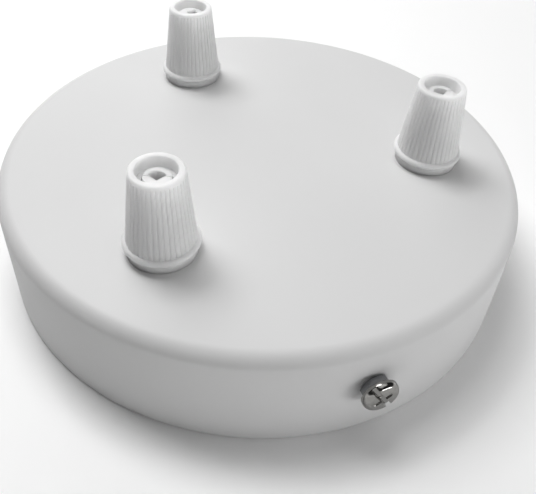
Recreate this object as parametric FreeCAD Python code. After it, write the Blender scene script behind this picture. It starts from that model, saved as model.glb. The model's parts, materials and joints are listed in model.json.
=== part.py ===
import FreeCAD, Part
import math
import os

V = FreeCAD.Vector
UP = V(0, 0, 1)
CENTRE = V(0, 0, 0)

# Millimetres. z = 0 is the ceiling plane, where the open rim of the canopy lies; +Z points into the room.
# The crossbar and the two side screws lie along Y.

# Canopy: pressed steel cup
canopy_diameter = 120.0
canopy_height = 25.0
canopy_sheet = 0.8
canopy_edge_radius = 3.0

# Where the cord grips and side screws stand; a grip's axis is inset from the edge of the canopy
grip_count = 3
grip_inset = 21.1
grip_first_angle = 218.6
side_screw_height = 13.5

# Clearances
stem_hole_gap = 0.3
screw_hole_gap = 0.3
thread_gap = 0.05
cap_thread_gap = 0.1
cap_seat_gap = 0.12
cap_jaw_gap = 0.3
crossbar_wall_gap = 0.5
nut_wall_gap = 0.1
tube_gap = 0.05
wire_funnel_gap = 0.5

# Grip base: flange and threaded stem below, cap thread and split clamping sleeve above
stem_diameter = 10.0
stem_length = 9.0
stem_chamfer = 0.6
flange_diameter = 14.2
flange_height = 1.9
flange_round = 0.6
grip_bore = 7.0
cap_thread_diameter = 10.0
cap_thread_top = 9.0
sleeve_root_diameter = 8.8
sleeve_diameter = 5.4
sleeve_hole = 3.3
sleeve_cone_top = 16.0
sleeve_top = 18.25
sleeve_edge = 0.2
jaw_corner = 1.1
jaw_angle = 98.0
jaw_directions = (250.0, 262.0, 130.0)
slit_width = 0.3
slit_bottom = 10.5
slit_spread = 90.0

# Grip cap: ribbed cone with a bead below and a recessed mouth above
cap_bead_diameter = 15.6
cap_bead_height = 1.3
cap_cone_low_diameter = 14.1
cap_cone_high_diameter = 10.65
cap_top = 19.8
cap_rim_round = 0.5
cap_mouth_round = 0.25
cap_mouth_diameter = 7.9
cap_floor = 17.3
cap_web = 0.8
rib_count = 40
rib_depth = 0.3
rib_groove_share = 0.6
rib_floor_share = 0.35
rib_top_margin = 0.7

# Locknut of a grip
grip_nut_flats = 14.0
grip_nut_height = 3.0

# Side screw with its locknut
side_screw_diameter = 3.0
side_screw_length = 8.0
side_head_diameter = 7.5
side_head_height = 1.8
side_nut_flats = 5.5
side_nut_height = 1.8
side_slot_angle = -58.0

# Recess of a pan head, as shares of the head
head_band_share = 0.4
head_crown_share = 0.62
slot_width_share = 0.13
slot_depth_share = 0.42
cross_span_share = 0.56
cross_width_share = 0.1
cross_foot_share = 0.2
cross_depth_share = 0.75

# Crossbar: bent steel strip
crossbar_width = 20.0
crossbar_sheet = 1.5
crossbar_bend = 1.5
tab_margin = 6.0
tab_corner = 4.0
tab_collar_diameter = 5.0
tab_collar_height = 1.2
slot_spacing = 80.0
slot_length = 16.0
slot_width = 4.6
supply_hole = 10.5

# Earth terminal on the crossbar
earth_position = 22.0
earth_screw_diameter = 4.0
earth_tip_height = 0.2
earth_collar_diameter = 6.6
earth_collar_height = 1.2
earth_head_diameter = 7.6
earth_head_height = 2.4
earth_washer_diameter = 9.6
earth_washer_sheet = 0.7
earth_washer_lip = 0.9

# Terminal block
block_position = -20.0
block_poles = 3
block_pitch = 11.6
block_length = 17.0
barrel_width = 6.8
barrel_height = 8.4
barrel_round = 2.2
chimney_spacing = 8.8
chimney_height = 12.6
block_web_height = 3.4
block_web_length = 8.0
tube_height = 4.2
tube_diameter = 4.6
tube_length = 13.0
tube_hole = 3.0
wire_funnel_depth = 1.4

# Clamping screws of the terminal block
clamp_screw_diameter = 2.5
clamp_thread_length = 4.4
clamp_head_diameter = 3.7
clamp_head_height = 2.2
clamp_slot_width = 0.7
clamp_slot_depth = 1.0
clamp_tip_height = 0.5

# Screws that hold the terminal block on the crossbar
block_screw_diameter = 2.5
block_thread_reach = 1.3
block_head_diameter = 4.5
block_head_height = 1.7

# Sizes that follow
canopy_radius = canopy_diameter / 2
canopy_inner_radius = canopy_radius - canopy_sheet
inside_face = canopy_height - canopy_sheet
stem_radius = stem_diameter / 2
grip_reach = canopy_radius - grip_inset
crossbar_half = crossbar_width / 2
crossbar_bend_outer = crossbar_bend + crossbar_sheet
tab_reach = math.sqrt((canopy_inner_radius - crossbar_wall_gap) ** 2 - crossbar_half ** 2)
tab_inner = tab_reach - crossbar_sheet
tab_top = side_screw_height + tab_margin
cap_bottom = flange_height + cap_seat_gap
cap_bead_top = cap_bottom + cap_bead_height
cap_thread_bore = cap_thread_diameter / 2 + cap_thread_gap
cap_web_hole = sleeve_diameter / 2 + cap_jaw_gap
cap_web_bottom = cap_floor - cap_web
side_screw_hole = side_screw_diameter / 2 + screw_hole_gap
side_nut_seat = canopy_radius + nut_wall_gap
side_head_seat = side_nut_seat + side_nut_height
sqrt_half = math.sqrt(0.5)


def point(r, z):
    """A point of a section in the XZ plane."""
    return V(r, 0, z)


def arc(r, z, radius, start, end):
    """The middle and end points of an arc about (r, z), angles in degrees from +X towards +Z."""
    middle = math.radians((start + end) / 2)
    last = math.radians(end)
    return (point(r + radius * math.cos(middle), z + radius * math.sin(middle)),
            point(r + radius * math.cos(last), z + radius * math.sin(last)))


def outline(steps):
    """A closed wire. A step is a point for a line, or a pair of points for an arc."""
    edges = []
    here = steps[0]
    for step in steps[1:] + steps[:1]:
        if isinstance(step, tuple):
            edges.append(Part.Arc(here, step[0], step[1]).toShape())
            here = step[1]
        else:
            edges.append(Part.makeLine(here, step))
            here = step
    return Part.Wire(edges)


def revolved(steps):
    """A solid of revolution about Z."""
    return Part.Face(outline(steps)).revolve(CENTRE, UP, 360)


def cylinder(diameter, height, base, axis=UP):
    return Part.makeCylinder(diameter / 2, height, base, axis)


def block(x, y, z, low):
    """A box centred on x and y, its lowest face at low."""
    return Part.makeBox(x, y, z, V(-x / 2, -y / 2, low))


def at(shape, x, y, z):
    moved = shape.copy()
    moved.translate(V(x, y, z))
    return moved


def turned(shape, degrees, axis=UP):
    moved = shape.copy()
    moved.rotate(CENTRE, axis, degrees)
    return moved


def hexagon_nut(flats, height, bore):
    """A hexagon nut from z = 0 upwards, its corners chamfered on both faces."""
    corner = flats / math.sqrt(3)
    rim = flats / 2
    drop = (corner - rim) * math.tan(math.radians(30))
    corners = [V(corner * math.cos(math.radians(60 * k)), corner * math.sin(math.radians(60 * k)), 0)
               for k in range(6)]
    prism = Part.Face(Part.makePolygon(corners + corners[:1])).extrude(V(0, 0, height))
    barrel = revolved([point(0, 0), point(rim, 0), point(corner, drop), point(corner, height - drop),
                       point(rim, height), point(0, height)])
    return prism.common(barrel).cut(cylinder(bore, height, CENTRE))


def pan_screw(diameter, length, head_diameter, head_height):
    """A pan head screw: seat of the head at z = 0, shank below, a slot and a cross recess on top."""
    rim = head_diameter / 2
    band = head_height * head_band_share
    crown = rim * head_crown_share
    shoulder = band + (head_height - band) * sqrt_half
    head = revolved([point(0, 0), point(rim, 0), point(rim, band),
                     (point(crown + (rim - crown) * sqrt_half, shoulder), point(crown, head_height)),
                     point(0, head_height)])
    chamfer = diameter / 8
    shank = revolved([point(0, 0), point(diameter / 2, 0), point(diameter / 2, chamfer - length),
                      point(diameter / 2 - chamfer, -length), point(0, -length)])
    slot_depth = head_height * slot_depth_share
    slot = block(2 * head_diameter, head_diameter * slot_width_share, head_height, head_height - slot_depth)
    span = head_diameter * cross_span_share / 2
    foot = span * cross_foot_share
    width = head_diameter * cross_width_share
    depth = head_height * (1 - cross_depth_share)
    blade = Part.Face(outline([point(-foot, depth), point(foot, depth), point(span, head_height),
                               point(span, 2 * head_height), point(-span, 2 * head_height),
                               point(-span, head_height)])).extrude(V(0, width, 0))
    blade = at(blade, 0, -width / 2, 0)
    return head.fuse(shank).cut([slot, blade, turned(blade, 90)])


def grip_angle(k):
    return math.radians(grip_first_angle + k * 360 / grip_count)


def on_grip(shape, k):
    """A shape made on the Z axis, moved to grip k on the outer face of the canopy."""
    return at(shape, grip_reach * math.cos(grip_angle(k)), grip_reach * math.sin(grip_angle(k)), canopy_height)


def on_side(shape, k):
    """A shape made along +Z, laid on the axis of side screw k so that +Z points out of the wall."""
    return turned(at(turned(shape, 90, V(1, 0, 0)), 0, 0, side_screw_height), 180 * k)


def make_canopy():
    edge = canopy_edge_radius
    inner_edge = canopy_edge_radius - canopy_sheet
    flat = canopy_radius - edge
    low = canopy_height - edge
    shell = revolved([point(canopy_radius, 0), point(canopy_radius, low), arc(flat, low, edge, 0, 90),
                      point(0, canopy_height), point(0, inside_face), point(flat, inside_face),
                      arc(flat, low, inner_edge, 90, 0), point(canopy_inner_radius, 0)])
    hole = cylinder(stem_diameter + 2 * stem_hole_gap, 2 * canopy_sheet, V(0, 0, -1.5 * canopy_sheet))
    holes = [on_grip(hole, k) for k in range(grip_count)]
    bore = cylinder(2 * side_screw_hole, 2 * canopy_edge_radius, V(0, 0, canopy_radius - canopy_edge_radius))
    holes += [on_side(bore, k) for k in range(2)]
    return shell.cut(holes)


def make_jaw_hole():
    """The hole of a clamping sleeve: round, but for a jaw on the +X side with a V groove for the cord."""
    deep = sleeve_top - sleeve_cone_top
    slope = math.radians(jaw_angle / 2)
    inner = jaw_corner - sleeve_hole * math.cos(slope)
    side = sleeve_hole * math.sin(slope)
    corners = [V(jaw_corner, 0, sleeve_cone_top), V(inner, side, sleeve_cone_top),
               V(-sleeve_hole, side, sleeve_cone_top), V(-sleeve_hole, -side, sleeve_cone_top),
               V(inner, -side, sleeve_cone_top)]
    groove = Part.Face(Part.makePolygon(corners + corners[:1])).extrude(V(0, 0, deep))
    return cylinder(sleeve_hole, deep, V(0, 0, sleeve_cone_top)).common(groove)


def make_grip_base(jaw_direction):
    """The nipple of a grip in one piece with its sleeve, which two slits split into a ring and a jaw."""
    rim = flange_diameter / 2
    bore = grip_bore / 2
    sleeve = sleeve_diameter / 2
    hole = sleeve_hole / 2
    shape = revolved([
        point(bore, -stem_length), point(stem_radius - stem_chamfer, -stem_length),
        point(stem_radius, stem_chamfer - stem_length), point(stem_radius, 0), point(rim, 0),
        point(rim, flange_height - flange_round),
        arc(rim - flange_round, flange_height - flange_round, flange_round, 0, 90),
        point(cap_thread_diameter / 2, flange_height), point(cap_thread_diameter / 2, cap_thread_top),
        point(sleeve_root_diameter / 2, cap_thread_top), point(sleeve, sleeve_cone_top),
        point(sleeve, sleeve_top - sleeve_edge), arc(sleeve - sleeve_edge, sleeve_top - sleeve_edge,
                                                     sleeve_edge, 0, 90),
        point(0, sleeve_top), point(0, sleeve_cone_top), point(hole, sleeve_cone_top),
        point(bore, cap_thread_top)])
    slit = Part.makeBox(sleeve_root_diameter, slit_width, sleeve_top, V(0, -slit_width / 2, slit_bottom))
    cutters = [make_jaw_hole(), turned(slit, slit_spread), turned(slit, -slit_spread)]
    return shape.cut([turned(cutter, jaw_direction) for cutter in cutters])


def cone_radius(z):
    """Radius of the cap's cone at a height above the canopy."""
    share = (z - cap_bead_top) / (cap_top - cap_bead_top)
    return (cap_cone_low_diameter + share * (cap_cone_high_diameter - cap_cone_low_diameter)) / 2


def groove_section(z):
    """The section of a groove between two ribs at height z: wide outside, narrow at its floor."""
    radius = cone_radius(z)
    half = math.pi * radius / rib_count * rib_groove_share
    floor = half * rib_floor_share
    mouth = 2 * half - floor
    low = radius - rib_depth
    high = radius + rib_depth
    corners = [V(low, -floor, z), V(high, -mouth, z), V(high, mouth, z), V(low, floor, z)]
    return Part.makePolygon(corners + corners[:1])


def make_grip_cap():
    """The cap of a grip: bead, ribbed cone, recessed mouth, inner cone and cap thread."""
    bead = cap_bead_diameter / 2
    belly = cap_bead_height / 2
    mouth = cap_mouth_diameter / 2
    rim = cap_top - cap_rim_round
    lip = cap_top - cap_mouth_round
    inner_top = cap_thread_top + cap_jaw_gap
    shape = revolved([
        point(cap_thread_bore, cap_bottom), point(bead - belly, cap_bottom),
        arc(bead - belly, cap_bottom + belly, belly, -90, 90), point(cap_cone_low_diameter / 2, cap_bead_top),
        point(cone_radius(rim), rim), arc(cone_radius(rim) - cap_rim_round, rim, cap_rim_round, 0, 90),
        point(mouth + cap_mouth_round, cap_top), arc(mouth + cap_mouth_round, lip, cap_mouth_round, 90, 180),
        point(mouth, cap_floor), point(cap_web_hole, cap_floor), point(cap_web_hole, cap_web_bottom),
        point(sleeve_root_diameter / 2 + cap_jaw_gap, inner_top), point(cap_thread_bore, inner_top)])
    groove = Part.makeLoft([groove_section(cap_bead_top), groove_section(cap_top - rib_top_margin)], True, True)
    return shape.cut([turned(groove, k * 360 / rib_count) for k in range(rib_count)])


def make_crossbar():
    reach = tab_reach
    bend = reach - crossbar_bend_outer
    strip = Part.Face(outline([
        point(-reach, tab_top), point(-reach, crossbar_bend_outer),
        arc(-bend, crossbar_bend_outer, crossbar_bend_outer, 180, 270), point(bend, 0),
        arc(bend, crossbar_bend_outer, crossbar_bend_outer, -90, 0), point(reach, tab_top),
        point(tab_inner, tab_top), point(tab_inner, crossbar_bend_outer),
        arc(bend, crossbar_bend_outer, crossbar_bend, 0, -90), point(-bend, crossbar_sheet),
        arc(-bend, crossbar_bend_outer, crossbar_bend, 270, 180), point(-tab_inner, tab_top)]))
    strip = turned(at(strip.extrude(V(0, crossbar_width, 0)), 0, -crossbar_half, 0), 90)
    corners = [edge for edge in strip.Edges
               if abs(edge.CenterOfMass.z - tab_top) < crossbar_sheet
               and abs(abs(edge.CenterOfMass.x) - crossbar_half) < thread_gap
               and abs(edge.Length - crossbar_sheet) < thread_gap]
    strip = strip.makeFillet(tab_corner, corners)
    collar = cylinder(tab_collar_diameter, tab_collar_height + thread_gap,
                      V(0, 0, tab_inner - tab_collar_height))
    earth = cylinder(earth_collar_diameter, earth_collar_height, V(0, earth_position, crossbar_sheet))
    strip = strip.fuse([on_side(collar, 0), on_side(collar, 1), earth])
    tapped = cylinder(side_screw_diameter + 2 * thread_gap, tab_reach, V(0, 0, tab_inner / 2))
    cutters = [on_side(tapped, 0), on_side(tapped, 1)]
    deep = 4 * crossbar_sheet
    for side in (-1, 1):
        middle = V(0, side * slot_spacing / 2, -crossbar_sheet)
        straight = slot_length - slot_width
        cutters.append(at(block(slot_width, straight, deep, 0), middle.x, middle.y, middle.z))
        for end in (-1, 1):
            cutters.append(cylinder(slot_width, deep, middle + V(0, end * straight / 2, 0)))
        fixing = V(side * block_pitch / 2, block_position, -crossbar_sheet)
        cutters.append(cylinder(block_screw_diameter + 2 * thread_gap, deep, fixing))
    cutters.append(cylinder(supply_hole, deep, V(0, 0, -crossbar_sheet)))
    cutters.append(cylinder(earth_screw_diameter + 2 * thread_gap, deep, V(0, earth_position, -crossbar_sheet)))
    return strip.cut(cutters).removeSplitter()


def make_earth_washer():
    """A cup washer whose rim turns down to keep the wire under it."""
    rim = earth_washer_diameter / 2
    hole = earth_screw_diameter / 2 + screw_hole_gap
    return revolved([point(hole, 0), point(rim - earth_washer_sheet, 0),
                     point(rim - earth_washer_sheet, -earth_washer_lip), point(rim, -earth_washer_lip),
                     point(rim, 0), arc(rim - earth_washer_sheet, 0, earth_washer_sheet, 0, 90),
                     point(hole, earth_washer_sheet)])


def pole_position(k):
    return (k - (block_poles - 1) / 2) * block_pitch


def make_terminal_block():
    """The insulating body: barrels with two screw chimneys each, joined by webs with fixing holes."""
    barrel = block(barrel_width, block_length, barrel_height, 0)
    ridges = [edge for edge in barrel.Edges
              if edge.Length > block_length - thread_gap and edge.CenterOfMass.z > barrel_height / 2]
    barrel = barrel.makeFillet(barrel_round, ridges)
    body = block((block_poles - 1) * block_pitch, block_web_length, block_web_height, 0)
    chimneys = []
    cutters = []
    along = V(0, 1, 0)
    wire_hole = tube_hole + 2 * wire_funnel_gap
    for k in range(block_poles):
        x = pole_position(k)
        chimneys.append(at(barrel, x, 0, 0))
        room = tube_length + 2 * tube_gap
        cutters.append(cylinder(tube_diameter + 2 * tube_gap, room, V(x, -room / 2, tube_height), along))
        cutters.append(cylinder(wire_hole, block_length, V(x, -block_length / 2, tube_height), along))
        for side in (-1, 1):
            y = side * chimney_spacing / 2
            chimneys.append(cylinder(barrel_width, chimney_height, V(x, y, 0)))
            cutters.append(cylinder(clamp_head_diameter + 2 * screw_hole_gap, chimney_height,
                                    V(x, y, tube_height)))
            funnel = Part.makeCone(wire_hole / 2 + wire_funnel_gap, wire_hole / 2, wire_funnel_depth,
                                   V(x, side * block_length / 2, tube_height), V(0, -side, 0))
            cutters.append(funnel)
    for k in range(block_poles - 1):
        x = pole_position(k) + block_pitch / 2
        cutters.append(cylinder(block_screw_diameter + 2 * screw_hole_gap, block_web_height, V(x, 0, 0)))
    return body.fuse(chimneys).cut(cutters)


def make_terminal_tube():
    along = V(0, 1, 0)
    tube = cylinder(tube_diameter, tube_length, V(0, -tube_length / 2, 0), along)
    tube = tube.cut(cylinder(tube_hole, tube_length, V(0, -tube_length / 2, 0), along))
    tapped = clamp_screw_diameter + 2 * thread_gap
    return tube.cut([cylinder(tapped, tube_diameter, V(0, side * chimney_spacing / 2, 0)) for side in (-1, 1)])


def make_clamp_screw():
    """A clamping screw, its tip at z = 0 and its slotted cheese head above."""
    shank = cylinder(clamp_screw_diameter, clamp_thread_length, CENTRE)
    head = cylinder(clamp_head_diameter, clamp_head_height, V(0, 0, clamp_thread_length))
    slot = block(clamp_head_diameter, clamp_slot_width, clamp_slot_depth,
                 clamp_thread_length + clamp_head_height - clamp_slot_depth)
    return shank.fuse(head).cut(slot)


def save(node, *solids):
    shape = solids[0] if len(solids) == 1 else Part.makeCompound(list(solids))
    shape.exportStep("parts/" + node + ".step")


os.makedirs("parts", exist_ok=True)
grips = range(grip_count)

save("canopy", make_canopy())
save("crossbar", make_crossbar())

grip_cap = make_grip_cap()
for k in grips:
    save("grip_base_%d" % (k + 1), on_grip(make_grip_base(jaw_directions[k]), k))
    save("grip_cap_%d" % (k + 1), on_grip(grip_cap, k))
grip_nut = at(hexagon_nut(grip_nut_flats, grip_nut_height, stem_diameter + 2 * thread_gap),
              0, 0, -canopy_sheet - grip_nut_height)
save("grip_locknuts", *[on_grip(grip_nut, k) for k in grips])

side_screw = turned(pan_screw(side_screw_diameter, side_screw_length, side_head_diameter, side_head_height),
                    side_slot_angle)
side_nut = hexagon_nut(side_nut_flats, side_nut_height, side_screw_diameter + 2 * thread_gap)
for k in range(2):
    save("side_screw_%d" % (k + 1), on_side(at(side_screw, 0, 0, side_head_seat), k))
    save("side_locknut_%d" % (k + 1), on_side(at(side_nut, 0, 0, side_nut_seat), k))

earth_seat = crossbar_sheet + earth_collar_height
earth_head_seat = earth_seat + earth_washer_sheet
earth_screw = pan_screw(earth_screw_diameter, earth_head_seat - earth_tip_height,
                        earth_head_diameter, earth_head_height)
save("earth_screw", at(earth_screw, 0, earth_position, earth_head_seat))
save("earth_cup_washer", at(make_earth_washer(), 0, earth_position, earth_seat))

save("terminal_block", at(make_terminal_block(), 0, block_position, crossbar_sheet))
for k in range(block_poles):
    save("terminal_tube_%d" % (k + 1),
         at(make_terminal_tube(), pole_position(k), block_position, crossbar_sheet + tube_height))
clamp_screw = make_clamp_screw()
clamp_height = crossbar_sheet + tube_height + clamp_tip_height
save("terminal_screws", *[at(clamp_screw, pole_position(k), block_position + side * chimney_spacing / 2,
                             clamp_height) for k in range(block_poles) for side in (-1, 1)])
block_screw = pan_screw(block_screw_diameter, block_web_height + block_thread_reach,
                        block_head_diameter, block_head_height)
save("terminal_block_screws", *[at(block_screw, pole_position(k) + block_pitch / 2, block_position,
                                   crossbar_sheet + block_web_height) for k in range(block_poles - 1)])
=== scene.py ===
# %% [markdown]
# # A ceiling rose with three cord grips
# A ceiling rose is the cup that hides the wiring where pendant lamps hang. This one is a pressed steel canopy
# with three ribbed cord grips on its face and two side screws that hold it to a crossbar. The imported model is
# the frame of the scene: every solid is already in its place, in metres, so the lesson only dresses it and
# never moves it.

# %% Load the frame
import json
import math

import bmesh
import bpy
import numpy as np
from mathutils import Matrix


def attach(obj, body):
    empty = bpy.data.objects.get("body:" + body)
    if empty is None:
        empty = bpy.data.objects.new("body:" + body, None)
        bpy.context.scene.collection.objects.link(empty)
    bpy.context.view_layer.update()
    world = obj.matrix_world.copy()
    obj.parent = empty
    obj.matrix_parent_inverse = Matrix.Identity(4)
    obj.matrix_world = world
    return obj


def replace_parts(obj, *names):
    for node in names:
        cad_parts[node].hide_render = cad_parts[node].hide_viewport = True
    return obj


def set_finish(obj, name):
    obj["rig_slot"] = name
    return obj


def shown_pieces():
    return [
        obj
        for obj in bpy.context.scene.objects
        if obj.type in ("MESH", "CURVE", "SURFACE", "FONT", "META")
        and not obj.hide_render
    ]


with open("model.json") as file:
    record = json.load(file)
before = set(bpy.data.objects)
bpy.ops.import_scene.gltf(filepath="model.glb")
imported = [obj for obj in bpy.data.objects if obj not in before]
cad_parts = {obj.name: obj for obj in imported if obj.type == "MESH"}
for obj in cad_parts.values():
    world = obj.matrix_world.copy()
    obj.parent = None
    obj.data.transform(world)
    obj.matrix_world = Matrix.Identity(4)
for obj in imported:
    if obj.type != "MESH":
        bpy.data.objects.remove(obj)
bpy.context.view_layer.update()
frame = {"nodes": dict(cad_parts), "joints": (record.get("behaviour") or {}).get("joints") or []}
MM = 0.001

# %% [markdown]
# ## Where things stand
# The grips and side screws could be placed by typing their coordinates again. Their joints already know the
# axes, so the places are read from there and can't drift from the model.

# %% Places from the joints
joint_of = {joint["child"]: joint for joint in frame["joints"]}
grip_places = [np.array(joint_of[f"grip_cap_{k}"]["pos_m"]) / MM for k in (1, 2, 3)]
screw_places = [np.array(joint_of[f"side_screw_{k}"]["pos_m"]) / MM for k in (1, 2)]
screw_axes = [np.array(joint_of[f"side_screw_{k}"]["axis"], float) for k in (1, 2)]
print("grips at", np.round(grip_places, 2).tolist())


# %% [markdown]
# ## Surfaces from grids
# Every new piece is a grid of points: one direction follows a profile, the other goes round an axis.
# Blender's Spin and Screw tools could turn a profile too, but arrays let ribs, threads and recesses change
# the radius from place to place. Where a seam or a pole brings points together they are merged, so each piece
# is closed.

# %% Profiles and grids
def line(start, end, steps):
    """Points (r, z) on a straight line: start plus a share of the way to end, the end left out."""
    share = np.arange(steps)[:, None] / steps
    return np.array(start) + share * (np.array(end) - np.array(start))


def bend(centre, radius, start, end, steps):
    """Points (r, z) on an arc: centre plus radius times the cosine and sine of an angle, the end left out."""
    angle = np.radians(start + (end - start) * np.arange(steps) / steps)
    return np.array(centre) + radius * np.stack([np.cos(angle), np.sin(angle)], -1)


def turned(radius, height, angle):
    """A grid from radius and height (rows or full grids) and an angle per column: x = r cos a, y = r sin a and
    z = height."""
    radius, height, angle = np.broadcast_arrays(radius, height, angle)
    return np.stack([radius * np.cos(angle), radius * np.sin(angle), height], -1)


def round_angles(count):
    """One row of evenly spaced angles, once round."""
    return np.linspace(0, 2 * np.pi, count, endpoint=False)[None, :]


def quads(rows, columns, closed_rows):
    """Corner numbers of each quad: a point, its neighbour in the row, and the same two in the next row."""
    r, c = np.meshgrid(np.arange(rows if closed_rows else rows - 1), np.arange(columns), indexing="ij")
    r_next, c_next = (r + 1) % rows, (c + 1) % columns
    return np.stack([r * columns + c, r * columns + c_next, r_next * columns + c_next, r_next * columns + c], -1)


# %% From grids to a piece
def make_piece(name, grids, sharp=35):
    """One object from grids given as (points in mm, whether the last row joins the first). Columns always close."""
    points, faces, first = [], [], 0
    for grid, closed_rows in grids:
        rows, columns = grid.shape[:2]
        points.append(grid.reshape(-1, 3))
        faces.append(quads(rows, columns, closed_rows).reshape(-1, 4) + first)
        first += rows * columns
    mesh = bpy.data.meshes.new(name)
    mesh.from_pydata(np.concatenate(points) * MM, [], np.concatenate(faces))
    weld = bmesh.new()
    weld.from_mesh(mesh)
    bmesh.ops.remove_doubles(weld, verts=weld.verts, dist=0.0001 * MM)
    bmesh.ops.recalc_face_normals(weld, faces=weld.faces)
    weld.to_mesh(mesh)
    weld.free()
    return shown(name, mesh, sharp)


def shown(name, mesh, sharp):
    """Shades a mesh smooth but for edges over the sharp angle, and puts it in the scene."""
    mesh.shade_smooth()
    mesh.set_sharp_from_angle(angle=math.radians(sharp))
    piece = bpy.data.objects.new(name, mesh)
    bpy.context.collection.objects.link(piece)
    print(name, len(mesh.polygons), "faces")
    return piece


def standing(grid, place):
    """A grid made on the Z axis, moved to a place."""
    return grid + np.array(place)


def lying(grid, k):
    """A grid made on the Z axis, laid along side screw k: its z runs outwards from the middle of the canopy."""
    up = np.array([0.0, 0.0, 1.0])
    turn = np.stack([np.cross(up, screw_axes[k]), up, screw_axes[k]])
    return grid @ turn + up * screw_places[k][2]


# %% [markdown]
# ## The canopy
# The real cup is drawn from 0.8 mm sheet, so its corner is a plain 3 mm bend outside and 2.2 mm inside, and
# the trimmed rim has lost its edge under the paint. A cylinder with a bevel would come close. One closed
# profile, turned once, also gives the inside and the rim, and its rows are dense in the bend, where the eye
# follows the light.

# %% Canopy profile, turned
canopy_radius, canopy_height, sheet, edge, rim_round = 60.0, 25.0, 0.8, 3.0, 0.4
flat, low = canopy_radius - edge, canopy_height - edge
inner = canopy_radius - sheet
canopy_profile = np.concatenate([
    line((0, canopy_height), (flat, canopy_height), 24),
    bend((flat, low), edge, 90, 0, 28),
    line((canopy_radius, low), (canopy_radius, rim_round), 24),
    bend((canopy_radius - rim_round, rim_round), rim_round, 0, -90, 6),
    bend((inner + rim_round, rim_round), rim_round, -90, -180, 6),
    line((inner, rim_round), (inner, low), 24),
    bend((flat, low), edge - sheet, 0, 90, 20),
    line((flat, canopy_height - sheet), (0, canopy_height - sheet), 24),
    [(0, canopy_height - sheet)]])
canopy = make_piece("canopy_skin", [(turned(canopy_profile[:, :1], canopy_profile[:, 1:], round_angles(320)), False)])


# %% [markdown]
# The stems and side screws go through punched holes. They are cut with a Boolean, because a hole off the axis
# can't lie along the rows of a turned grid. The cutters are rods that are thrown away afterwards.

# %% Holes for stems and side screws
def rod(radius, start, end):
    """A closed rod on the Z axis: a pole, a ring at each end, and a pole."""
    profile = np.array([(0, start), (radius, start), (radius, end), (0, end)])
    return turned(profile[:, :1], profile[:, 1:], round_angles(64))


stem_hole, side_hole = 5.3, 1.8
cutters = [(standing(rod(stem_hole, -1.5 * sheet, sheet), place), False) for place in grip_places]
cutters += [(lying(rod(side_hole, inner - sheet, canopy_radius + sheet), k), False) for k in (0, 1)]
cutter = make_piece("hole_cutter", cutters)
punch = canopy.modifiers.new("holes", "BOOLEAN")
punch.operation, punch.solver, punch.object = "DIFFERENCE", "EXACT", cutter
punched = bpy.data.meshes.new_from_object(canopy.evaluated_get(bpy.context.evaluated_depsgraph_get()))
canopy.modifiers.clear()
canopy.data = punched
punched.set_sharp_from_angle(angle=math.radians(35))
bpy.data.objects.remove(cutter)
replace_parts(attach(canopy, "rose"), "canopy")
print("canopy with holes:", len(punched.polygons), "faces")

# %% [markdown]
# ## The grip caps
# A cap is a moulded cone with forty ribs for the fingers, a bead at its foot and a mouth with a rounded rim.
# The ribs could be bars set round a cone, but on the mould they are one skin: wide ridges with narrow
# grooves. So the radius of the cone falls by a groove depth that rises steeply towards the edges of each rib,
# and fades out under the rim.

# %% Cap profile
cap_low, cap_high, bead_radius, bead_height = 2.02, 19.8, 7.8, 1.3
cone_low, cone_high, rim_edge, mouth, lip_edge = 7.05, 5.325, 0.5, 3.95, 0.25
cap_floor, web_hole, web_low, thread_bore, thread_end, throat = 17.3, 3.0, 16.5, 5.1, 9.3, 4.7
bead_top = cap_low + bead_height
rib_count, rib_depth, rib_end, rib_fade = 40, 0.3, 19.2, 0.5


def cone_radius(z):
    """The cone's radius, falling evenly from its foot on the bead to the rim."""
    return cone_low + (z - bead_top) / (cap_high - bead_top) * (cone_high - cone_low)


rim_low, rib_start = cap_high - rim_edge, rib_end - rib_fade
belly = bead_height / 2
cap_profile = np.concatenate([
    line((thread_bore, cap_low), (bead_radius - belly, cap_low), 5),
    bend((bead_radius - belly, cap_low + belly), belly, -90, 78, 16),
    line((bead_radius - belly + 0.16, bead_top - 0.02), (cone_low, bead_top + 0.06), 3),
    line((cone_low, bead_top + 0.06), (cone_radius(rib_start), rib_start), 36),
    line((cone_radius(rib_start), rib_start), (cone_radius(rim_low), rim_low), 12),
    bend((cone_radius(rim_low) - rim_edge, rim_low), rim_edge, 0, 90, 8),
    line((cone_radius(rim_low) - rim_edge, cap_high), (mouth + lip_edge, cap_high), 2),
    bend((mouth + lip_edge, cap_high - lip_edge), lip_edge, 90, 180, 8),
    line((mouth, cap_high - lip_edge), (mouth, cap_floor), 8),
    line((mouth, cap_floor), (web_hole, cap_floor), 3),
    line((web_hole, cap_floor), (web_hole, web_low), 2),
    line((web_hole, web_low), (throat, thread_end), 6),
    line((throat, thread_end), (thread_bore, thread_end), 2),
    line((thread_bore, thread_end), (thread_bore, cap_low), 6)])


# %% Ribs, and the three caps
def smooth_step(x):
    """0 below 0, 1 above 1, and 3x2 - 2x3 between."""
    x = np.clip(x, 0, 1)
    return x * x * (3 - 2 * x)


def ribbed(profile, columns_per_rib):
    """Lowers the cone between ribs: depth times the fourth power of the way from a rib's middle to its edge."""
    angle = round_angles(rib_count * columns_per_rib)
    radius, height = profile[:, :1], profile[:, 1:]
    across = np.abs((angle * rib_count / (2 * np.pi)) % 1 * 2 - 1)
    on_cone = (height > bead_top) & (height < rim_low) & (radius > cone_high - 0.2)
    depth = rib_depth * on_cone * smooth_step((rib_end - height) / rib_fade)
    return turned(radius - depth * across ** 4, height, angle)


cap_grid = ribbed(cap_profile, 12)
for k, place in enumerate(grip_places, 1):
    cap = make_piece(f"grip_cap_{k}_moulding", [(standing(cap_grid, place), True)])
    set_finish(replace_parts(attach(cap, f"grip_cap_{k}"), f"grip_cap_{k}"), "white_grip_plastic")


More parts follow.
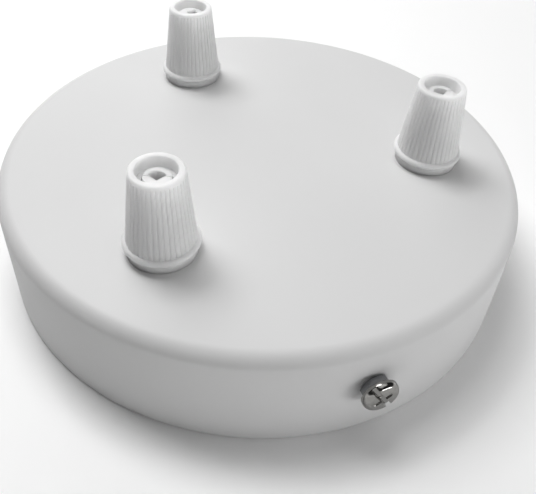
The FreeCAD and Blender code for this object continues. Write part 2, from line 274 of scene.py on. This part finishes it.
# %% [markdown]
# ## The grip bases
# Under each cap sits a nipple with a thread on both ends. A thread is a groove that climbs one pitch in a
# turn, so it could be a coil wrapped round the stem. On a grid it is a wave in the radius, whose phase is the
# height in pitches minus the share of a turn, faded out at the ends.

# %% Threads
def thread_cut(height, angle, pitch, depth, start, end):
    """Depth of a rounded thread: half a wave of cosine along height minus turn, fading within a pitch of its ends."""
    wave = 0.5 - 0.5 * np.cos(2 * np.pi * (height / pitch - angle / (2 * np.pi)))
    fade = smooth_step((height - start) / pitch) * smooth_step((end - height) / pitch)
    return depth * wave * fade


stem_radius, stem_low, stem_chamfer, bore, flange, flange_top, flange_round = 5.0, -9.0, 0.6, 3.5, 7.1, 1.9, 0.6
nipple_thread_top, nipple_top, sleeve_root = 9.0, 10.5, 4.4
sleeve, sleeve_hole, sleeve_low, sleeve_cone_top, sleeve_top, sleeve_edge = 2.7, 1.65, 10.3, 16.0, 18.25, 0.2


def sleeve_radii(z):
    """Outer and inner radius of the sleeve's cone, both falling evenly from the thread to the straight part."""
    share = (z - nipple_thread_top) / (sleeve_cone_top - nipple_thread_top)
    return sleeve_root + share * (sleeve - sleeve_root), bore + share * (sleeve_hole - bore)


top_outer, top_inner = sleeve_radii(nipple_top)
nipple_profile = np.concatenate([
    line((bore, stem_low), (stem_radius - stem_chamfer, stem_low), 3),
    line((stem_radius - stem_chamfer, stem_low), (stem_radius, stem_low + stem_chamfer), 6),
    line((stem_radius, stem_low + stem_chamfer), (stem_radius, 0), 100),
    line((stem_radius, 0), (flange, 0), 3),
    line((flange, 0), (flange, flange_top - flange_round), 3),
    bend((flange - flange_round, flange_top - flange_round), flange_round, 0, 90, 6),
    line((flange - flange_round, flange_top), (stem_radius, flange_top), 3),
    line((stem_radius, flange_top), (stem_radius, nipple_thread_top), 60),
    line((stem_radius, nipple_thread_top), (sleeve_root, nipple_thread_top), 2),
    line((sleeve_root, nipple_thread_top), (top_outer, nipple_top), 4),
    line((top_outer, nipple_top), (top_inner, nipple_top), 2),
    line((top_inner, nipple_top), (bore, nipple_thread_top), 4),
    line((bore, nipple_thread_top), (bore, stem_low), 10)])


def nipple(columns=120):
    """The turned nipple with its two threads: M10 x 1 on the stem, a coarser 1.5 mm thread under the cap."""
    radius, height, angle = nipple_profile[:, :1], nipple_profile[:, 1:], round_angles(columns)
    outside = radius > stem_radius - stem_chamfer - 0.01
    stem = thread_cut(height, angle, 1.0, 0.6, stem_low - 0.4, -0.2) * outside * (radius <= stem_radius)
    neck = thread_cut(height, angle, 1.5, 0.5, flange_top, nipple_thread_top) * outside * (radius <= stem_radius)
    return turned(radius - np.where(height < 0, stem, neck), height, angle)


# %% [markdown]
# Two slits split the top of the sleeve into a ring and a jaw, whose V groove pinches the cord as the cap is
# tightened. Each is a section carried round part of a turn. The radius of the V is the distance of a straight
# line from the axis, divided by the cosine of the angle from that line's foot. The end sections shrink to
# their middles, which closes the ends.

# %% Clamping sleeve
jaw_corner, jaw_angle, slit_spread, slit_half, jaw_directions = 1.1, 98.0, 90.0, 3.4, (250.0, 262.0, 130.0)


def sleeve_part(start, end, direction, steps):
    """The sleeve's wall from one angle to another, in degrees from the jaw's middle, with the V groove inside."""
    angle = np.radians(np.linspace(start, end, steps))[:, None]
    slope = np.radians(90 - jaw_angle / 2)
    lean = np.abs((angle + np.pi) % (2 * np.pi) - np.pi) - slope
    groove = jaw_corner * np.cos(slope) / np.maximum(np.cos(lean), 0.05)
    hole = np.minimum(np.where(lean < 1.5, groove, sleeve_hole), sleeve_hole)
    low_outer, low_inner = sleeve_radii(sleeve_low)
    outer = np.concatenate([line((low_outer, sleeve_low), (sleeve, sleeve_cone_top), 6),
                            line((sleeve, sleeve_cone_top), (sleeve, sleeve_top - sleeve_edge), 5),
                            bend((sleeve - sleeve_edge, sleeve_top - sleeve_edge), sleeve_edge, 0, 90, 5)])
    share = np.concatenate([np.linspace(0, 1, 5), np.ones(6)])[None, :]
    inner_z = np.concatenate([np.full(4, sleeve_top), [sleeve_top - 0.12],
                              np.linspace(sleeve_top - 0.3, sleeve_cone_top, 6)])
    inside = (sleeve - sleeve_edge) + share * (hole - sleeve + sleeve_edge)
    below = np.array([(sleeve_hole, sleeve_cone_top), (low_inner, sleeve_low)])
    radius = np.concatenate([np.broadcast_to(outer[:, 0], (steps, len(outer))), inside,
                             np.broadcast_to(below[:, 0], (steps, 2))], 1)
    height = np.broadcast_to(np.concatenate([outer[:, 1], inner_z, below[:, 1]]), radius.shape)
    grid = turned(radius, height, angle + np.radians(direction))
    ends = grid[[0, -1]].mean(1, keepdims=True) + np.zeros_like(grid[[0, -1]])
    return np.concatenate([ends[:1], grid, ends[1:]])


# %% The three bases
nipple_grid = nipple()
for k, (place, direction) in enumerate(zip(grip_places, jaw_directions), 1):
    jaw = sleeve_part(-slit_spread + slit_half, slit_spread - slit_half, direction, 49)
    ring = sleeve_part(slit_spread + slit_half, 360 - slit_spread - slit_half, direction, 49)
    base = make_piece(f"grip_base_{k}_moulding", [(standing(nipple_grid, place), True),
                                                  (standing(jaw, place), False), (standing(ring, place), False)])
    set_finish(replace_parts(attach(base, "rose"), f"grip_base_{k}"), "white_grip_plastic")


# %% [markdown]
# ## Nuts
# A hexagon nut could be a six-sided cylinder with a bevel, but the curved scallops that its 30 degree chamfer
# leaves on the flats are what makes it look turned. Here the radius is the smaller of two: that of a hexagon,
# the half width over the cosine of the angle from a flat's middle, and that of the chamfer's cone.

# %% Hexagon nuts
columns_per_flat, sunk_share, face_share, nut_chamfer = 24, 0.08, 0.97, 30


def hexagon_nut(flats, height, bore_radius, low):
    """A nut from z = low upwards: the lesser of a hexagon's radius and a chamfer cone's, with a countersunk bore."""
    angle = round_angles(6 * columns_per_flat)
    hexagon = flats / 2 / np.cos(angle % (np.pi / 3) - np.pi / 6)
    corner, sunk, face = flats / math.sqrt(3), sunk_share * flats, flats / 2 * face_share
    drop = (corner - flats / 2) * math.tan(math.radians(nut_chamfer))
    rows = np.concatenate([np.linspace(0, drop, 9), np.linspace(height - drop, height, 9)])
    cone = face + (corner - face) * np.minimum(rows, height - rows) / drop
    outside = np.minimum(hexagon, cone[:, None])
    inside = np.array([(bore_radius + sunk, height), (bore_radius, height - sunk), (bore_radius, sunk),
                       (bore_radius + sunk, 0)])
    radius = np.concatenate([outside, np.broadcast_to(inside[:, :1], (4, angle.size))])
    return turned(radius, np.concatenate([rows, inside[:, 1]])[:, None] + low, angle)


grip_nut = hexagon_nut(14.0, 3.0, 5.05, -sheet - 3.0)
grip_nuts = make_piece("grip_locknuts_turned", [(standing(grip_nut, place), True) for place in grip_places], 25)
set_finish(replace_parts(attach(grip_nuts, "rose"), "grip_locknuts"), "zinc_plated_steel")
side_nut_seat, side_nut_height = canopy_radius + 0.1, 1.8
side_nut = hexagon_nut(5.5, side_nut_height, 1.55, side_nut_seat)
for k in (0, 1):
    nut = make_piece(f"side_locknut_{k + 1}_turned", [(lying(side_nut, k), True)], 25)
    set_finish(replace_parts(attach(nut, f"side_screw_{k + 1}"), f"side_locknut_{k + 1}"), "zinc_plated_steel")


# %% [markdown]
# ## Pan head screws
# A plated screw lives by its reflections, so the head needs a softly domed top and recess walls with rounded
# lips. Boolean cuts leave knife edges. The top is a height over a round grid instead: the dome, or the floor
# of the slot or cross where that is lower, with each wall eased over a fifth of a millimetre.

# %% Pan head
band_share, crown_share, dome_share, lip_share = 0.3, 0.72, 0.035, 0.06
slot_floor, slot_half, ease_share = 0.4, 0.065, 0.03
cross_span, cross_half, cross_floor, cross_flat = 0.28, 0.05, 0.25, 0.2


def carved(top, floor, inside, ease):
    """Lowers top to floor where inside (mm from the wall, positive inside) is positive, eased across the wall."""
    return top + (np.minimum(floor, top) - top) * smooth_step(inside / ease + 0.5)


def pan_head(width, height, slot_angle, ease, columns):
    """The head's skin over (radius, angle): a dome that turns down on an ellipse, a slot and a tapering cross."""
    rim, band, crown = width / 2, height * band_share, width / 2 * crown_share
    angle = round_angles(columns)
    turn = np.sin(np.linspace(0.06, np.pi / 2, 22))
    radius = np.concatenate([np.linspace(0, crown, 72), crown + (rim - crown) * turn])[:, None]
    over = np.clip((radius - crown) / (rim - crown), 0, 1)
    dome = height - dome_share * height * (radius / crown).clip(0, 1) ** 2
    top = band + (dome - band) * np.sqrt(1 - over ** 2) + 0 * angle
    along, across = radius * np.cos(angle - slot_angle), radius * np.sin(angle - slot_angle)
    top = carved(top, height * slot_floor, width * slot_half - np.abs(across), ease)
    span = width * cross_span
    for far, near in ((np.abs(along), np.abs(across)), (np.abs(across), np.abs(along))):
        rise = np.clip((far - cross_flat * span) / ((1 - cross_flat) * span), 0, 1)
        floor = height * (cross_floor + (1 - cross_floor) * rise)
        top = carved(top, floor, width * cross_half - near, ease)
    lip = lip_share * height
    sides = np.array([(rim, band * 0.5), (rim, lip), (rim - lip, 0), (rim * 0.5, 0), (0, 0)])
    radius = np.concatenate([radius, sides[:, :1]]) + 0 * angle
    return turned(radius, np.concatenate([top, sides[:, 1:] + 0 * angle]), angle)


# %% Shank, and the whole screw
def shank(radius, length, pitch, columns=40):
    """A threaded rod below z = 0 with a chamfered tip, closed by a pole in the head and one at the tip."""
    depth = 0.6 * pitch
    height = np.linspace(0.3, -length, max(12, int(10 * length / pitch)))[:, None]
    angle = round_angles(columns)
    body = radius - thread_cut(height, angle, pitch, depth, -length - pitch, -0.3 * pitch)
    body = np.minimum(body, radius - depth + (height + length))
    poles = np.zeros((1, columns))
    return turned(np.concatenate([poles, body, poles]), np.concatenate([height[:1], height, height[-1:]]), angle)


def pan_screw(thread, length, pitch, width, height, slot_angle, seat, columns=360):
    """Both grids of a screw whose head sits at z = seat."""
    parts = (pan_head(width, height, math.radians(slot_angle), ease_share * width, columns),
             shank(thread / 2, length, pitch))
    return [(standing(part, (0, 0, seat)), False) for part in parts]


# %% Side screws
side_slot_angle = -58.0
side_head_seat = side_nut_seat + side_nut_height
side_screw = pan_screw(3.0, 8.0, 0.5, 7.5, 1.8, side_slot_angle, side_head_seat)
for k in (0, 1):
    screw = make_piece(f"side_screw_{k + 1}_plated", [(lying(grid, k), closed) for grid, closed in side_screw])
    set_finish(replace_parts(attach(screw, f"side_screw_{k + 1}"), f"side_screw_{k + 1}"), "nickel_plated_steel")

# %% Screws inside: earth terminal and terminal block
earth_screw = pan_screw(4.0, 3.2, 0.7, 7.6, 2.4, 0, 3.4, 180)
earth = make_piece("earth_screw_turned", [(standing(grid, (0, 22, 0)), closed) for grid, closed in earth_screw])
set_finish(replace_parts(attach(earth, "rose"), "earth_screw"), "brass")
block_screw = pan_screw(2.5, 4.7, 0.45, 4.5, 1.7, 0, 4.9, 120)
fixings = make_piece("block_screws_turned", [(standing(grid, (x, -20, 0)), closed)
                                             for x in (-5.8, 5.8) for grid, closed in block_screw])
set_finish(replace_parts(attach(fixings, "rose"), "terminal_block_screws"), "zinc_plated_steel")


# %% [markdown]
# ## Pieces inside, with their edges eased
# The crossbar, terminal block, tubes, washer and clamping screws already have their shape. What a stamping, a
# moulding and a turned part lack there is the small round on each edge that catches the light. A copy of each
# is merged, its flat triangles are joined again, and a narrow bevel goes on its edges.

# %% Eased copies
flat_angle, edge_angle = 0.5, 30


def eased(node, width, slot):
    """A copy of a node with its doubles merged, its flat faces joined and its sharper edges bevelled by width."""
    mesh = frame["nodes"][node].data.copy()
    weld = bmesh.new()
    weld.from_mesh(mesh)
    bmesh.ops.remove_doubles(weld, verts=weld.verts, dist=0.001 * MM)
    bmesh.ops.dissolve_limit(weld, angle_limit=math.radians(flat_angle), verts=weld.verts, edges=weld.edges)
    weld.to_mesh(mesh)
    weld.free()
    piece = shown(f"{node}_eased", mesh, 40)
    bevel = piece.modifiers.new("edges", "BEVEL")
    bevel.width, bevel.segments, bevel.limit_method = width * MM, 2, "ANGLE"
    bevel.angle_limit = math.radians(edge_angle)
    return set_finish(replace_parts(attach(piece, "rose"), node), slot)


for node, width, slot in (("crossbar", 0.2, "zinc_plated_steel"), ("terminal_block", 0.15, "terminal_plastic"),
                          ("earth_cup_washer", 0.1, "brass"), ("terminal_screws", 0.08, "zinc_plated_steel"),
                          ("terminal_tube_1", 0.1, "brass"), ("terminal_tube_2", 0.1, "brass"),
                          ("terminal_tube_3", 0.1, "brass")):
    eased(node, width, slot)


# %% [markdown]
# ## Materials
# Each finish starts from what the real one is. Colours are written as the eye sees them, in sRGB hex, and one
# function turns them to linear light. One more adds a node with its settings and links, so a material reads
# as a short list.

# %% Colour and nodes
def linear(colour):
    """sRGB hex to linear RGBA: low values over 12.92, the rest (c + 0.055) / 1.055 to the power 2.4."""
    c = np.array([int(colour[i:i + 2], 16) for i in (0, 2, 4)]) / 255
    return (*np.where(c <= 0.04045, c / 12.92, ((c + 0.055) / 1.055) ** 2.4), 1.0)


def add(tree, kind, inputs=None, **settings):
    """Adds one node: settings are its properties, inputs are values for its sockets or sockets to link to them."""
    made = tree.nodes.new(kind)
    for name, value in settings.items():
        setattr(made, name, value)
    for name, value in (inputs or {}).items():
        if isinstance(value, bpy.types.NodeSocket):
            tree.links.new(value, made.inputs[name])
        else:
            made.inputs[name].default_value = value
    return made


def new_material(name):
    """An empty material and its tree, with Object coordinates to start from."""
    material = bpy.data.materials.new(name)
    material.use_nodes = True
    material.node_tree.nodes.clear()
    tree = material.node_tree
    return material, tree, add(tree, "ShaderNodeTexCoord").outputs["Object"]


def give(material, surface):
    """Ends a material with its output node, and prints its size."""
    add(material.node_tree, "ShaderNodeOutputMaterial", {"Surface": surface})
    print(material.name, len(material.node_tree.nodes), "nodes")


# %% Patterns
def clouds(tree, place, size_mm, detail, distortion=0.0):
    """Soft random clouds, 0 to 1, whose grain is this many millimetres wide: Scale counts grains in a metre."""
    return add(tree, "ShaderNodeTexNoise", {"Vector": place, "Scale": 1 / (size_mm * MM), "Detail": detail,
                                            "Distortion": distortion}).outputs["Fac"]


def two_tone(tree, share, first, second):
    """The first hex colour where share is 0, the second where it is 1, and a blend between."""
    return add(tree, "ShaderNodeMix", {"Factor": share, "A": linear(first), "B": linear(second)},
               data_type="RGBA").outputs["Result"]


def between(tree, share, low, high):
    """A number that goes from low to high as share goes from 0 to 1."""
    return add(tree, "ShaderNodeMapRange", {"Value": share, "To Min": low, "To Max": high}).outputs["Result"]


def relief(tree, height, strength, depth_mm):
    """Bumps from a pattern, as deep as the given millimetres."""
    return add(tree, "ShaderNodeBump", {"Height": height, "Strength": strength,
                                        "Distance": depth_mm * MM}).outputs["Normal"]


# %% [markdown]
# ### Powder coat
# Powder sprayed on the steel and baked until it flows. It leaves a matte skin with a faint orange peel, waves
# about a millimetre wide and a few microns high, and no sharp reflection.

# %% White powder coat
powder_coat, tree, place = new_material("white_powder_coat")
peel = clouds(tree, place, 1.1, 2.0)
shader = add(tree, "ShaderNodeBsdfPrincipled", {
    "Base Color": two_tone(tree, clouds(tree, place, 26, 3.0), "DADADA", "D7D7D7"),
    "Roughness": between(tree, peel, 0.5, 0.6),
    "Normal": relief(tree, peel, 0.35, 0.012),  # the orange peel that breaks up the highlight
    "IOR": 1.5, "Specular IOR Level": 0.35})
give(powder_coat, shader.outputs["BSDF"])

# %% [markdown]
# ### Moulded grip plastic
# Polyamide or ABS, injection moulded and white right through. Light goes some millimetres into it, so the
# thin lip and the sleeve glow and the shadows in the mouth stay pale. The mould's spark-eroded skin gives a
# satin with a grain of about 0.15 mm. That is under a pixel here, so it is drawn at 0.4 mm.

# %% White grip plastic
grip_plastic, tree, place = new_material("white_moulded_plastic")
grain = clouds(tree, place, 0.4, 3.0)
shader = add(tree, "ShaderNodeBsdfPrincipled", {
    "Base Color": two_tone(tree, clouds(tree, place, 7, 2.0), "F6F6F6", "F2F2F2"),
    "Roughness": between(tree, grain, 0.38, 0.5),
    "Normal": relief(tree, grain, 0.25, 0.01),
    "IOR": 1.52,
    "Subsurface Weight": 0.9, "Subsurface Scale": 4 * MM, "Subsurface Radius": (1.0, 1.0, 1.0)})
give(grip_plastic, shader.outputs["BSDF"])

# %% [markdown]
# ### Bright nickel
# Steel barrel-plated with nickel: a slightly warm grey mirror, dulled here and there by fine rubbing marks
# from the barrel.

# %% Nickel plate
nickel, tree, place = new_material("bright_nickel_plate")
marks = clouds(tree, place, 0.6, 4.0)
shader = add(tree, "ShaderNodeBsdfPrincipled", {
    "Base Color": two_tone(tree, marks, "A4A3A0", "858381"), "Metallic": 1.0,
    "Roughness": between(tree, marks, 0.05, 0.14)})
give(nickel, shader.outputs["BSDF"])

# %% [markdown]
# ### Zinc plate
# Cold-rolled steel plated with zinc and passivated: a cool grey metal, half bright, with soft clouds a few
# millimetres wide where the bath lay unevenly.

# %% Zinc plate
zinc, tree, place = new_material("blue_zinc_plate")
rolled = clouds(tree, place, 0.5, 3.0)
shader = add(tree, "ShaderNodeBsdfPrincipled", {
    "Base Color": two_tone(tree, clouds(tree, place, 4, 4.0, 0.6), "929395", "77787A"), "Metallic": 1.0,
    "Roughness": between(tree, rolled, 0.16, 0.32),
    "Normal": relief(tree, rolled, 0.2, 0.006)})
give(zinc, shader.outputs["BSDF"])

# %% [markdown]
# ### Brass
# Free-cutting brass, left bare as it came off the lathe: yellow, bright, a little browner where it was
# handled.

# %% Turned brass
brass, tree, place = new_material("turned_brass")
shader = add(tree, "ShaderNodeBsdfPrincipled", {
    "Base Color": two_tone(tree, clouds(tree, place, 2.5, 4.0), "DDBE78", "C6A25C"), "Metallic": 1.0,
    "Roughness": between(tree, clouds(tree, place, 0.3, 3.0), 0.18, 0.36)})
give(brass, shader.outputs["BSDF"])

# %% [markdown]
# ### Natural polyamide
# The terminal block is moulded in uncoloured polyamide: milky, slightly yellow, with a soft gloss and light
# that goes a little way in.

# %% Polyamide
polyamide, tree, place = new_material("natural_polyamide")
cloud = clouds(tree, place, 5, 3.0)
shader = add(tree, "ShaderNodeBsdfPrincipled", {
    "Base Color": two_tone(tree, cloud, "E9E6DC", "E1DED2"),
    "Roughness": between(tree, cloud, 0.32, 0.45),
    "IOR": 1.53,
    "Subsurface Weight": 0.25, "Subsurface Scale": 2 * MM, "Subsurface Radius": (1.0, 0.9, 0.7)})
give(polyamide, shader.outputs["BSDF"])

# %% Who wears what
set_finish(canopy, "white_powder_coat")
finish_of = {"white_powder_coat": powder_coat, "white_grip_plastic": grip_plastic, "nickel_plated_steel": nickel,
             "zinc_plated_steel": zinc, "brass": brass, "terminal_plastic": polyamide}
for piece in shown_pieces():
    piece.data.materials.clear()
    piece.data.materials.append(finish_of[piece["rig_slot"]])

# %% [markdown]
# ## Floor and light
# The rose lies on a white sheet under soft studio light from behind, on the left. A lamp's level is the
# brightness that it alone gives a facing white sheet. On the sheet the lamps add up to about one, so a colour
# renders about as it is written. The sheet turns to plain white away from the rose for the rays that look at
# it, so that it has no end, and stays a lit surface near the rose, where the shadow falls.

# %% What a ray sees
def looking(tree, path):
    """Two values, 1 or 0: for all rays that show the background (straight, in a reflection or through something), and
    for those in a reflection or through something."""
    mirrored = add(tree, "ShaderNodeMath", {0: path.outputs["Is Glossy Ray"], 1: path.outputs["Is Transmission Ray"]},
                   operation="MAXIMUM").outputs["Value"]
    seen = add(tree, "ShaderNodeMath", {0: path.outputs["Is Camera Ray"], 1: mirrored}, operation="MAXIMUM")
    return seen.outputs["Value"], mirrored


# %% Floor
floor_mesh = bpy.data.meshes.new("white_sheet")
reach = 3.0
corners = [(-reach, -reach, 0), (reach, -reach, 0), (reach, reach, 0), (-reach, reach, 0)]
floor_mesh.from_pydata(corners, [], [(0, 1, 2, 3)])
floor = bpy.data.objects.new("white_sheet", floor_mesh)
bpy.context.collection.objects.link(floor)
paper, tree, place = new_material("white_paper")
shader = add(tree, "ShaderNodeBsdfPrincipled", {
    "Base Color": two_tone(tree, clouds(tree, place, 40, 3.0), "FFFFFF", "FDFDFD"),
    "Roughness": 0.9, "Specular IOR Level": 0.0})
away = add(tree, "ShaderNodeVectorMath", {0: place}, operation="LENGTH")
far = add(tree, "ShaderNodeMapRange", {"Value": away.outputs["Value"], "From Min": 120 * MM, "From Max": 400 * MM},
          interpolation_type="SMOOTHSTEP")
seen = looking(tree, add(tree, "ShaderNodeLightPath"))[0]
share = add(tree, "ShaderNodeMath", {0: far.outputs["Result"], 1: seen}, operation="MULTIPLY")
plain = add(tree, "ShaderNodeEmission", {"Color": linear("FFFFFF")})
sheet_end = add(tree, "ShaderNodeMixShader", {0: share.outputs["Value"], 1: shader.outputs["BSDF"],
                                              2: plain.outputs["Emission"]})
give(paper, sheet_end.outputs["Shader"])
floor_mesh.materials.append(paper)


# %% Lamps
lamp_distance = 0.7


def panel(name, azimuth, elevation, width_mm, height_mm, level):
    """A soft box aimed at the rose: pi squared times the distance squared times the level, in watts."""
    a, e = math.radians(azimuth), math.radians(elevation)
    lamp = bpy.data.lights.new(name, "AREA")
    lamp.shape, lamp.size, lamp.size_y = "RECTANGLE", width_mm * MM, height_mm * MM
    lamp.energy = level * math.pi ** 2 * lamp_distance ** 2
    holder = bpy.data.objects.new(name, lamp)
    holder.location = lamp_distance * np.array([math.cos(e) * math.cos(a), math.cos(e) * math.sin(a), math.sin(e)])
    holder.rotation_euler = (-holder.location).to_track_quat("-Z", "Y").to_euler()
    bpy.context.collection.objects.link(holder)
    print(name, round(lamp.energy, 2), "W")


panel("key_back_left", 120, 60, 260, 260, 0.40)
panel("overhead_back", 100, 75, 260, 260, 0.35)
panel("wide_back", 90, 30, 500, 500, 0.26)
panel("overhead_front", 300, 70, 500, 500, 0.13)
panel("overhead_right", 0, 70, 500, 500, 0.08)
panel("low_front", 298, 6.5, 450, 130, 0.31)

# %% [markdown]
# Round the table the studio is white. Bright metal would look flat in a room that is white all round: what
# shapes it is the dark of the room above the table. So reflections fade from white at the horizon to near
# black a little above it.

# %% Surroundings
world = bpy.data.worlds.new("studio")
world.use_nodes = True
world.node_tree.nodes.clear()
tree = world.node_tree
path = add(tree, "ShaderNodeLightPath")
mirrored = looking(tree, path)[1]
way = add(tree, "ShaderNodeSeparateXYZ", {0: add(tree, "ShaderNodeTexCoord").outputs["Generated"]})
glow = add(tree, "ShaderNodeMapRange", {"Value": way.outputs["Z"], "From Min": 0.0, "From Max": 0.25, "To Min": 1.0,
                                        "To Max": 0.04}, interpolation_type="SMOOTHSTEP")
dimmed = add(tree, "ShaderNodeMath", {0: mirrored, 1: glow.outputs["Result"]}, operation="MULTIPLY")
level = add(tree, "ShaderNodeMath", {0: path.outputs["Is Camera Ray"], 1: dimmed.outputs["Value"]},
            operation="MAXIMUM")
room = add(tree, "ShaderNodeBackground", {"Color": linear("FFFFFF"), "Strength": level.outputs["Value"]})
add(tree, "ShaderNodeOutputWorld", {"Surface": room.outputs["Background"]})
bpy.context.scene.world = world
bpy.context.scene.view_settings.view_transform = "Standard"
print(world.name, len(tree.nodes), "nodes")

# %% [markdown]
# ## Camera
# The photographed view was solved from the outline of the canopy and the feet and rims of the grips: about 43
# degrees above the floor and 18 cm away, with a slight roll. The picture was cropped below its middle, which
# is the camera's shift.

# %% Camera
eye_mm = (-49.31, -117.65, 119.11)
right, up, back = (0.93076, -0.36222, 0.04989), (0.20276, 0.62486, 0.75395), (-0.30427, -0.69163, 0.65504)
camera_data = bpy.data.cameras.new("camera")
camera_data.sensor_fit, camera_data.sensor_width, camera_data.lens = "HORIZONTAL", 36.0, 44.71
camera_data.shift_y = -0.0809
camera_data.clip_start, camera_data.clip_end = 0.01, 20.0
camera = bpy.data.objects.new("camera", camera_data)
columns = np.array([right, up, back, np.array(eye_mm) * MM]).T
camera.matrix_world = Matrix([*columns.tolist(), (0, 0, 0, 1)])
bpy.context.collection.objects.link(camera)
bpy.context.scene.camera = camera
print("camera", np.round(np.linalg.norm(eye_mm), 1), "mm from the middle of the rim")

# %% The end
bpy.context.view_layer.update()
